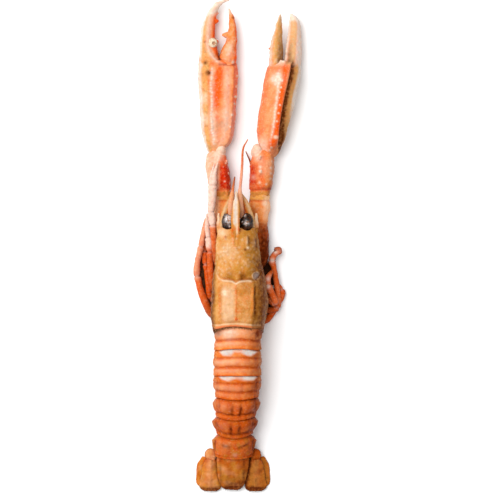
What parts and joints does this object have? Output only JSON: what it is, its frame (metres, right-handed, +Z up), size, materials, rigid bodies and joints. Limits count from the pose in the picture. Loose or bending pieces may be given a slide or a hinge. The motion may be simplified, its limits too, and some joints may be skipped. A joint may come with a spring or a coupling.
{
  "type": "cooked langoustine",
  "caption": "Whole boiled langoustine lying on its belly, tail stretched out behind and both long spiny claws stretched forward.",
  "frame": {"origin": "on the table, under the middle of the whole outline from the claw tips to the tail fan", "axes": "+Y towards the claw tips, +Z up from the table, -X to the animal's own left"},
  "size_m": [0.0687, 0.315, 0.0326],
  "materials": {
    "head_shell": "thin boiled shell, golden orange with a faint waxy shine",
    "tail_shell": "thin boiled shell, orange, redder along grooves and hind edges, waxy",
    "claw_shell": "hard boiled shell, salmon orange with paler tips and redder ridges, satin",
    "wrist_shell": "hard boiled shell, bright red orange with cream knobs and thorns, satin",
    "leg_shell": "thin boiled shell, pale pink orange, half clear, satin",
    "eye": "black, wet shine",
    "barnacle_lime": "chalky, matt"
  },
  "bodies": {
    "root": {"carapace": "head_shell", "belly_plate": "head_shell", "eye_left": "eye", "feeler_scale_left": "head_shell", "feeler_foot_left": "head_shell", "mouth_leg_left": "leg_shell", "eye_right": "eye", "feeler_scale_right": "head_shell", "feeler_foot_right": "head_shell", "mouth_leg_right": "leg_shell", "feeler_front_left": "leg_shell", "feeler_front_right": "leg_shell", "feeler_long_right": "leg_shell", "tail_segment_1": "tail_shell", "tail_segment_2": "tail_shell", "tail_segment_3": "tail_shell", "tail_segment_4": "tail_shell", "tail_segment_5": "tail_shell", "tail_segment_6": "tail_shell", "telson": "tail_shell", "tail_fan_inner_left": "tail_shell", "tail_fan_outer_left": "tail_shell", "tail_fan_root_left": "tail_shell", "tail_fan_inner_right": "tail_shell", "tail_fan_outer_right": "tail_shell", "tail_fan_root_right": "tail_shell", "walking_leg_1_left": "leg_shell", "walking_leg_2_left": "leg_shell", "walking_leg_3_left": "leg_shell", "walking_leg_4_left": "leg_shell", "walking_leg_1_right": "leg_shell", "walking_leg_2_right": "leg_shell", "walking_leg_3_right": "leg_shell", "walking_leg_4_right": "leg_shell", "claw_hand_left": "claw_shell", "claw_thumb_left": "claw_shell", "claw_wrist_left": "wrist_shell", "claw_arm_left": "claw_shell", "barnacle": "barnacle_lime", "claw_hand_right": "claw_shell", "claw_thumb_right": "claw_shell", "claw_wrist_right": "wrist_shell", "claw_arm_right": "claw_shell"}
  },
  "joints": []
}
